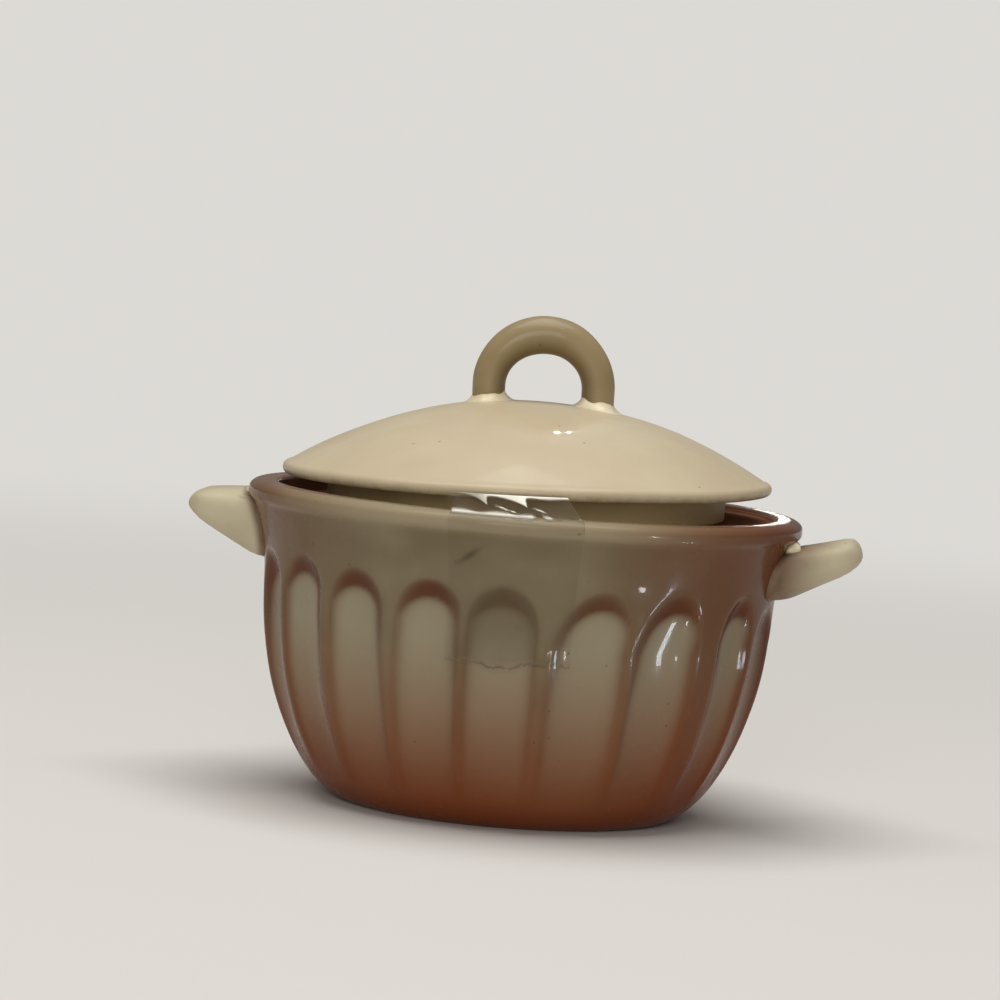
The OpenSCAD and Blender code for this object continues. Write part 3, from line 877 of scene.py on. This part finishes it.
for side, sign, drop, slope, plump, seed in (("left", -1, 6.1, -5, 0.0, 12), ("right", 1, 5.5, 14, 1.0, 15)):
    tip_t = 3.1 * MM
    z = (POT_H - drop * MM + tip_t / math.cos(math.radians(slope))
         - (LUG_X - tip_t - RIM_R) * math.tan(math.radians(slope)))
    r = (RIM_R if z > LIP_Z else wall_r(z)) - 0.2 * MM
    half = math.asin((LUG_HALF_W - 1.4 * MM) / r)
    line = []
    for j in range(65):
        a = half * (2 * j / 64 - 1)
        line.append(placed_lug((r * math.cos(a), r * math.sin(a), z - (0.5 - 0.2 * plump) * MM), sign))
    front_lump = [1 + plump * 1.0 * math.exp(-(((j - 9) / 9) ** 2)) for j in range(65)]
    rows = roll_rows(line, 0.95 * MM, 0.35, seed, front_lump)
    coating = SLIP_GLAZE if plump else LUG_GLAZE
    roll = finished(f"{side}_lug_slip_roll", skin(f"{side}_lug_slip_skin", rows), coating)
    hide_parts(f"{side}_lug_slip")
    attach(roll, "pot")

# %% [markdown]
# The lid and its ring are turned shapes too, but plain ones, so their sections are spun in code.
# The lid is thrown freehand: slow noise lifts and drops its skin by a few tenths of a millimetre.
# Both lie square to the seat, which was fired slightly out of level.


# %% Spinning a closed section
def spun(name, line, columns, material, unevenness=0.0, seed=0, edge_of=None):
    """Spins a section. One that starts off the axis is joined end to end."""
    line = line + [line[0]] if line[0][0] > 0 else line
    rows = []
    for r, z in line:
        row = []
        for i in range(columns):
            a = 2 * math.pi * i / columns
            x, y = r * math.cos(a), r * math.sin(a)
            lift = unevenness * wobble((x, y, z), 22 * MM, seed) if unevenness else 0.0
            row.append(tuple(ON_SEAT @ Vector((x, y, z + lift))))
        rows.append(row)
    mesh = skin(name + "_skin", rows)
    if edge_of:
        values = [edge_of(r, z) for r, z in line for _ in range(columns)]
        mesh.attributes.new("edge", "FLOAT", "POINT").data.foreach_set("value", values)
    return finished(name, mesh, material)


# %% Lid
def lid_line():
    hollow_r = DOME_R - LID_T
    ring_in = RING_R - RING_T
    low = [(0, DOME_Z + hollow_r)]
    low += [(r, DOME_Z + math.sqrt(hollow_r**2 - r * r)) for r in np.linspace(2 * MM, ring_in, 14)]
    low += bend_through([(ring_in + 0.1 * MM, RING_H), (LID_R - EDGE_R * 1.2, RING_H)], 2 * MM)
    nose = rounded((LID_R - EDGE_R, EDGE_Z), EDGE_R, -82, 62, 14)
    top = [(r, DOME_Z + math.sqrt(DOME_R**2 - r * r)) for r in np.linspace(LID_R - EDGE_R * 1.15, 1 * MM, 72)]
    return low + nose + top + [(0, DOME_Z + DOME_R)]


def lid_edge(r, z):
    """1 on the sharp lower corner of the lid's edge, fading within two millimetres."""
    off = math.hypot(r - (LID_R - 0.5 * MM), z - (RING_H + 0.5 * MM))
    return math.exp(-((off / (0.9 * MM)) ** 2))


lid = spun("domed_lid", lid_line(), 240, LID_GLAZE, 0.25 * MM, 5, lid_edge)
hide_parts("lid_shell")
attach(lid, "lid")

# %% Ring under the lid
c = 0.6 * MM
ring_line = [(RING_R - RING_T, RING_H), (RING_R - RING_T, c)]
ring_line += rounded((RING_R - RING_T + c, c), c, 180, 270, 5)[1:]
ring_line += bend_through([(RING_R - RING_T + c, 0), (RING_R - c, 0)], 0.8 * MM)[1:]
ring_line += rounded((RING_R - c, c), c, -90, 0, 5)[1:]
ring_line += bend_through([(RING_R, c), (RING_R, RING_H)], 0.8 * MM)[1:]
ring = spun("lid_ring", ring_line, 180, BARE_CLAY)
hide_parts("lid_flange")
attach(ring, "lid")

# %% [markdown]
# The handle is one rolled rod bent into an arch. It is swept along its own path: two legs and a
# half circle. Clay gathers at the top of such a bend, so the rod is a little thicker there.


# %% Loop
def loop_rows():
    foot = dome_z(LOOP_R + LOOP_SHIFT, 0) - 0.5 * MM
    spring = dome_z(LOOP_R + LOOP_SHIFT, 0) + LOOP_LEG
    crown = ROD_R * 1.1
    rise = LOOP_R + ROD_R - crown
    path = [(-LOOP_R, z, 0.0) for z in np.linspace(foot, spring, 14)[:-1]]
    for i in range(61):
        a = math.pi - math.pi * i / 60
        path.append((LOOP_R * math.cos(a), spring + rise * math.sin(a), math.sin(a) ** 2))
    path += [(LOOP_R, z, 0.0) for z in np.linspace(spring, foot, 14)[1:]]
    rows = []
    for j, (x, z, top) in enumerate(path):
        before, after = path[max(j - 1, 0)], path[min(j + 1, len(path) - 1)]
        run = Vector((after[0] - before[0], 0, after[1] - before[1])).normalized()
        out = Vector((0, 1, 0)).cross(run)
        r = ROD_R * 0.97 + (crown - ROD_R * 0.97) * top
        row = []
        for i in range(40):
            a = 2 * math.pi * i / 40
            point = Vector((x + LOOP_SHIFT, 0, z))
            dent = 0.14 * MM * (wobble(tuple(point + out * math.cos(a) * r), 6 * MM, 31) - 0.7)
            point = point + out * math.cos(a) * (r + dent) + Vector((0, 1, 0)) * math.sin(a) * (r + dent)
            row.append(tuple(ON_SEAT @ point))
        rows.append(row)
    return capped(rows)


loop_skin = skin("loop_skin", loop_rows())
# Painted shade on the side of the rod that faces the hole.
shade_facing_hole = [0.5 + 0.5 * math.cos(2 * math.pi * i / 40) for i in range(40)]
painted(loop_skin, "inner", shade_facing_hole * (len(loop_skin.vertices) // 40))
loop = finished("clay_loop", loop_skin, LOOP_GLAZE)
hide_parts("lid_loop")
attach(loop, "lid")


# %% Collars of slip round the loop's feet
def collar_rows(side, seed):
    middle = LOOP_SHIFT + side * LOOP_R
    rows = []
    for i in range(72):
        a = 2 * math.pi * i / 72
        ahead = Vector((math.cos(a), math.sin(a), 0))
        lump = wobble((math.cos(a) * 1.6, math.sin(a) * 1.6, side), 1.0, seed)
        lump += 0.5 * wobble((math.cos(a) * 4, math.sin(a) * 4, side), 1.0, seed + 2)
        spread = 1.75 * MM * (1 + 0.45 * lump)
        tall = 1.9 * MM * (1 + 0.4 * wobble((math.cos(a) * 1.3, math.sin(a) * 1.3, side), 1.0, seed + 1))
        row = []
        for j in range(13):
            b = math.pi / 2 * j / 12
            off = ROD_R - 0.3 * MM + (spread + 0.3 * MM) * (1 - math.cos(b) ** 1.3)
            up = tall * (1 - math.sin(b) ** 1.2)
            x, y = middle + ahead.x * off, ahead.y * off
            row.append((x, y, dome_z(x, y) + up - 0.06 * MM))
        off = ROD_R - 1.0 * MM
        x, y = middle + ahead.x * off, ahead.y * off
        row += [(row[-1][0], row[-1][1], row[-1][2] - 0.7 * MM), (x, y, dome_z(x, y) - 0.7 * MM),
                (x, y, dome_z(x, y) + tall * 0.9)]
        rows.append([tuple(ON_SEAT @ Vector(p)) for p in row])
    return rows


for side, sign, seed in (("left", -1, 41), ("right", 1, 47)):
    mesh = skin(f"{side}_collar_skin", collar_rows(sign, seed), closed_columns=True)
    collar = finished(f"{side}_loop_slip_collar", mesh, SLIP_GLAZE)
    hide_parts(f"{side}_loop_slip")
    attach(collar, "lid")

# %% [markdown]
# A strip of clear tape runs from the lid's edge over the rim and down the wall. It spans the
# flute that it crosses, puckers where it bends, and its lower end was torn off by hand. The film
# is a grid of points laid along that path, then given a real thickness.


# %% Tape film
def tape_material():
    material, tree, shader = new_material("clear_tape_film")
    where = node_of(tree, "ShaderNodeTexCoord").outputs["Object"]
    haze = noise_of(tree, where, 160, 3, 0.6)
    crease_and_highlight, grime_and_shadow = attribute_of(tree, "crease_and_highlight"), attribute_of(tree, "grime_and_shadow")
    shade_veil = attribute_of(tree, "shade_veil")
    # Creases: white stress marks and painted highlights, in colour and in cover.
    tone = blend_of(tree, crease_and_highlight, linear(112, 99, 70), linear(250, 246, 232))
    # Dirt on the film, and painted shadow along its torn edge.
    tone = blend_of(tree, grime_and_shadow, tone, linear(92, 74, 50))
    tree.links.new(tone, shader.inputs["Base Color"])
    # Painted shade over the flute's hollow, as a darker veil in the film.
    thin = blend_of(tree, shade_veil, ramp_of(tree, haze, [(0.3, 0.03), (0.8, 0.08)]), (0.24, 0.24, 0.24))
    cover = blend_of(tree, crease_and_highlight, thin, (0.95, 0.95, 0.95))
    cover = blend_of(tree, grime_and_shadow, cover, (0.8, 0.8, 0.8))
    tree.links.new(cover, shader.inputs["Alpha"])
    tree.links.new(ramp_of(tree, haze, [(0.3, 0.08), (0.8, 0.2)]), shader.inputs["Roughness"])
    shader.inputs["Specular IOR Level"].default_value = 0.25
    shader.inputs["Coat Weight"].default_value = 0.3
    shader.inputs["Coat Roughness"].default_value = 0.05
    return material


def bell(x, middle, width):
    """1 at the middle, falling to nothing about two widths away."""
    return math.exp(-(((x - middle) / width) ** 2))


def gathered(u):
    """How far down the bridge the pleats' whitening and painted highlight reach: two hanging points with
    curves between.
    """
    reach = 0.02 + 0.08 * min(1.0, max(0.0, (u - 0.1) / 0.2))
    for point, soft, sharp in ((0.313, 0.035, 0.012), (0.626, 0.055, 0.012)):
        off = u - point
        reach += 0.42 * math.exp(off / soft if off < 0 else -off / sharp)
    return reach


def tape_film():
    columns, rows_n = 150, 150
    bridge, fold = 0.26, 0.34
    ends = ((-18.2, 9.0), (-15.1, 11.9), (-14.9, 12.1))
    crest = (RIM_R - 2.3 * MM, POT_H + 0.05 * MM)
    points, crease_and_highlight, grime_and_shadow, shade_veil = [], [], [], []
    for j in range(rows_n):
        t = j / (rows_n - 1)
        for i in range(columns):
            u = i / (columns - 1)
            white_and_highlight, dirt_and_shadow, haze = 0.0, 0.0, 0.0
            share = min(1.0, t / bridge)
            a, b = (ends[0][k] + (ends[1][k] - ends[0][k]) * share for k in (0, 1))
            if t > fold:
                share = (t - fold) / (1 - fold)
                a, b = (ends[1][k] + (ends[2][k] - ends[1][k]) * share for k in (0, 1))
            turned = math.radians(a + (b - a) * u)
            if t < bridge:
                s = t / bridge
                top_z = POT_H + 3.45 * MM + LID_R * math.sin(turned) * math.tan(SEAT_TILT)
                r = LID_R + 0.42 * MM + (crest[0] - LID_R - 0.42 * MM) * s
                z = top_z + (crest[1] - top_z) * s - math.sin(s * math.pi) * 0.3 * MM
                z += 0.3 * MM * math.sin(s * math.pi) * math.sin(u * 21)
                pleat = gathered(u) - s
                rightward = min(1.0, max(0.0, (u - 0.25) / 0.15))
                white_and_highlight = min(1.0, max(0.0, pleat / 0.08 + 0.5)) * (0.55 + 0.45 * rightward)
                r += 0.35 * MM * white_and_highlight * (1 - s)
                # Three small painted highlights on the bridge.
                for gu, gs, wide in ((0.43, 0.62, 0.045), (0.5, 0.66, 0.02), (0.72, 0.64, 0.04)):
                    white_and_highlight = max(white_and_highlight, 0.85 * bell(u, gu, wide) * bell(s, gs + (u - gu) * 0.8, 0.05))
                white_and_highlight = max(white_and_highlight, rim_whitening_and_highlight(u) * bell(s, 1.0, 0.14))
            elif t < fold:
                s = (t - bridge) / (fold - bridge)
                turn_down = s * math.pi / 2
                r = crest[0] + (RIM_R + 0.06 * MM - crest[0]) * math.sin(turn_down)
                z = crest[1] - 1.6 * MM * (1 - math.cos(turn_down))
                white_and_highlight = rim_whitening_and_highlight(u) * bell(s, 0.05, 0.3)
            else:
                s = (t - fold) / (1 - fold)
                torn = 0.7 * MM * wobble((u * 7, 0.3, 0.1), 1.0, 61)
                torn += 0.4 * MM * wobble((u * 34, 0.7, 0.1), 1.0, 62)
                low = POT_H - 25.8 * MM - 1.3 * MM * bell(u, 0.46, 0.14) + torn
                z = (POT_H - 1.6 * MM) + (low - POT_H + 1.6 * MM) * s
                lip = min(1.0, max(0.0, (z - LIP_Z) / (1.1 * MM)))
                r = wall_r(min(z, LIP_Z)) + LIP_STEP * lip + 0.06 * MM
                sag = bell(math.degrees(turned), -3.0, 5.0)
                if z < FLUTE_TOP:
                    r -= 0.4 * MM * sag * min(1.0, (FLUTE_TOP - z) / (4 * MM))
                # Painted shade over the flute's hollow, darker higher up.
                over = min(1.0, abs(math.degrees(turned) + 3.0) / 7.4)
                arch_z = FLUTE_TOP - 6 * MM * (1 - math.sqrt(1 - over * over))
                haze = (1.0 if over < 1 else 0.0) * min(1.0, max(0.0, (arch_z - z) / (0.6 * MM)))
                haze *= min(1.0, 0.2 + max(0.0, z - 0.03) / (10 * MM))
                # A faint painted highlight just above the torn edge.
                white_and_highlight = 0.1 * bell(s, 0.975, 0.008)
                # Dirt and painted shadow along the torn edge, and a smudge of dirt below the rim.
                dirt_and_shadow = bell(s, 1.0, 0.016) * (0.4 + 0.6 * wobble((u * 12, 0, 0), 1.0, 65))
                dirt_and_shadow = max(dirt_and_shadow, 0.6 * bell(u, 0.16 + (z - 0.0495) * 50, 0.03) * bell(z, 0.0495, 1.2 * MM))
            # A painted highlight along the film's right edge, over the gap and the rim.
            white_and_highlight = max(white_and_highlight, (0.12 if t < fold else 0.0) * bell(1 - u, 0, 0.006))
            points.append((r * math.sin(turned), -r * math.cos(turned), z))
            crease_and_highlight.append(min(1.0, max(0.0, white_and_highlight)))
            grime_and_shadow.append(min(1.0, max(0.0, dirt_and_shadow)))
            shade_veil.append(haze)
    faces = [(j * columns + i, j * columns + i + 1, (j + 1) * columns + i + 1, (j + 1) * columns + i)
             for j in range(rows_n - 1) for i in range(columns - 1)]
    mesh = bpy.data.meshes.new("tape_film_skin")
    mesh.from_pydata(points, [], faces)
    mesh.attributes.new("crease_and_highlight", "FLOAT", "POINT").data.foreach_set("value", crease_and_highlight)
    mesh.attributes.new("grime_and_shadow", "FLOAT", "POINT").data.foreach_set("value", grime_and_shadow)
    mesh.attributes.new("shade_veil", "FLOAT", "POINT").data.foreach_set("value", shade_veil)
    return mesh


def rim_whitening_and_highlight(u):
    """Whitening and painted highlight along the fold over the rim: even on the left, broken on the right."""
    if u < 0.62:
        return 0.9
    return 0.75 * min(1.0, max(0.0, 0.45 + 1.4 * wobble((u * 16, 0, 0), 1.0, 66)))


tape = finished("clear_tape_film", tape_film(), tape_material())
front = Vector(tape.data.polygons[len(tape.data.polygons) // 2].normal)
if front.y > 0:
    tape.data.flip_normals()
thick = tape.modifiers.new("thickness", "SOLIDIFY")
thick.thickness = 0.05 * MM
thick.offset = -1
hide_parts("lid_tape")
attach(tape, "pot")

# %% [markdown]
# The room is as plain as can be: a pale floor, and a pale sky of the same tone, so that no
# horizon shows. Two soft lamps stand for the ceiling's light and a bright wall in front. The
# rest are small lamps that light one piece each and show only as a shine on its glaze: a spot
# on the loop, two on the lid, a bright crescent on the rim, and thin streaks on the flutes.


# %% Floor and sky
PALE = (0.72, 0.7, 0.67)


def floor_material():
    """Plain pale paint that becomes the sky's own tone far from the pot, so that no horizon shows."""
    material, tree, shader = new_material("pale_floor")
    shader.inputs["Base Color"].default_value = (*PALE, 1)
    shader.inputs["Roughness"].default_value = 0.9
    where = node_of(tree, "ShaderNodeTexCoord").outputs["Object"]
    length = node_of(tree, "ShaderNodeVectorMath", operation="LENGTH")
    tree.links.new(where, length.inputs[0])
    far = node_of(tree, "ShaderNodeMapRange", interpolation_type="SMOOTHSTEP")
    far.inputs["From Min"].default_value = 0.1
    far.inputs["From Max"].default_value = 0.8
    tree.links.new(length.outputs["Value"], far.inputs["Value"])
    glow = node_of(tree, "ShaderNodeEmission")
    glow.inputs["Color"].default_value = (*PALE, 1)
    mix = node_of(tree, "ShaderNodeMixShader")
    tree.links.new(far.outputs[0], mix.inputs[0])
    tree.links.new(shader.outputs[0], mix.inputs[1])
    tree.links.new(glow.outputs[0], mix.inputs[2])
    out = next(n for n in tree.nodes if n.type == "OUTPUT_MATERIAL")
    tree.links.new(mix.outputs[0], out.inputs["Surface"])
    return material


floor_mesh = bpy.data.meshes.new("floor")
ring_points = [(6 * math.cos(a), 6 * math.sin(a), 0) for a in np.linspace(0, 2 * math.pi, 97)[:-1]]
floor_mesh.from_pydata(ring_points, [], [tuple(range(96))])
floor = bpy.data.objects.new("floor", floor_mesh)
floor.data.materials.append(floor_material())
bpy.context.scene.collection.objects.link(floor)
floor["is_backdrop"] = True

world = bpy.data.worlds.new("room")
world.use_nodes = True
bpy.context.scene.world = world
sky_tree = world.node_tree
sky = sky_tree.nodes["Background"]
sky.inputs["Color"].default_value = (*PALE, 1)
rays = sky_tree.nodes.new("ShaderNodeLightPath")
seen = sky_tree.nodes.new("ShaderNodeMath")
seen.operation = "MAXIMUM"
sky_tree.links.new(rays.outputs["Is Camera Ray"], seen.inputs[0])
sky_tree.links.new(rays.outputs["Is Transmission Ray"], seen.inputs[1])
level = sky_tree.nodes.new("ShaderNodeMapRange")
level.inputs["To Min"].default_value = 0.32
level.inputs["To Max"].default_value = 1.0
sky_tree.links.new(seen.outputs[0], level.inputs["Value"])
sky_tree.links.new(level.outputs[0], sky.inputs["Strength"])
print("floor and sky ready")


# %% Lamps
def soft_lamp(name, place, aim, size, power, tone=(1, 1, 1), height=None):
    lamp = bpy.data.lights.new(name, "AREA")
    lamp.energy = power
    lamp.color = tone
    lamp.shape = "RECTANGLE"
    lamp.size = size
    lamp.size_y = height or size
    stand = bpy.data.objects.new(name, lamp)
    stand.location = place
    stand.rotation_mode = "QUATERNION"
    stand.rotation_quaternion = (Vector(aim) - Vector(place)).to_track_quat("-Z", "Y")
    bpy.context.scene.collection.objects.link(stand)
    return stand


middle = (0, 0, POT_H / 2)
soft_lamp("ceiling", (-0.05, -0.05, 1.1), middle, 0.9, 10.3, (1, 0.985, 0.965))
soft_lamp("wall_in_front", (-0.12, -1.35, 0.42), middle, 0.6, 5.3, (1, 0.985, 0.965))


def glint(name, place, aim, width, height, power, piece, tone=(1, 1, 1)):
    """A small bright lamp that is seen only as a shine on one piece."""
    lamp = soft_lamp(name, place, aim, width, power, tone, height=height)
    lamp.visible_camera = False
    lamp.visible_diffuse = False
    group = bpy.data.collections.new(name + "_on")
    group.objects.link(piece)
    lamp.light_linking.receiver_collection = group


glint("loop_spot", (0.24, -0.566, 1.12), (0, 0, 0.09), 0.05, 0.03, 0.3, loop)
glint("lid_spot_a", (0.049, 1.137, 1.019), (0, -0.025, 0.071), 0.014, 0.014, 0.3, lid)
glint("lid_spot_b", (0.075, 1.16, 0.988), (0, -0.025, 0.071), 0.014, 0.014, 0.3, lid)
glint("rim_crescent", (0.105, 1.007, 0.125), (0.047, 0, 0.057), 0.02, 0.02, 0.014, pot, (1.0, 0.88, 0.8))
glint("rim_spot", (0.2675, -0.2165, 0.0317), (0.0228, -0.0456, 0.0546), 0.014, 0.01, 0.08, pot)
glint("neck_spot", (0.0976, -0.0947, 0.0071), (0.0215, -0.0424, 0.0455), 0.005, 0.005, 0.006, pot)
glint("flute_streak", (0.126, -0.067, 0.004), (0.0398, -0.023, 0.03), 0.011, 0.014, 0.03, pot,
      (0.8, 0.9, 1.0))
print("lamps ready")

# %% [markdown]
# Last, the skins are measured against the solids they stand for. Last, the skins must not be
# bigger than the solids they stand for. The difference between the two boxes is printed, in
# millimetres.

# %% Measure and finish
scene = bpy.context.scene
scene.view_settings.view_transform = "Standard"
visual_box = [list(corner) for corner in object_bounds()]
grown = [[(b - a) / MM for a, b in zip(*pair)] for pair in zip(SOLID_BOX, visual_box)]
print("visual box less solid box, mm:", [[round(g, 2) for g in corner] for corner in grown])
total = sum(sum(len(f.vertices) - 2 for f in piece.data.polygons)
            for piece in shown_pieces() if piece.type == "MESH")
print("triangles", total)
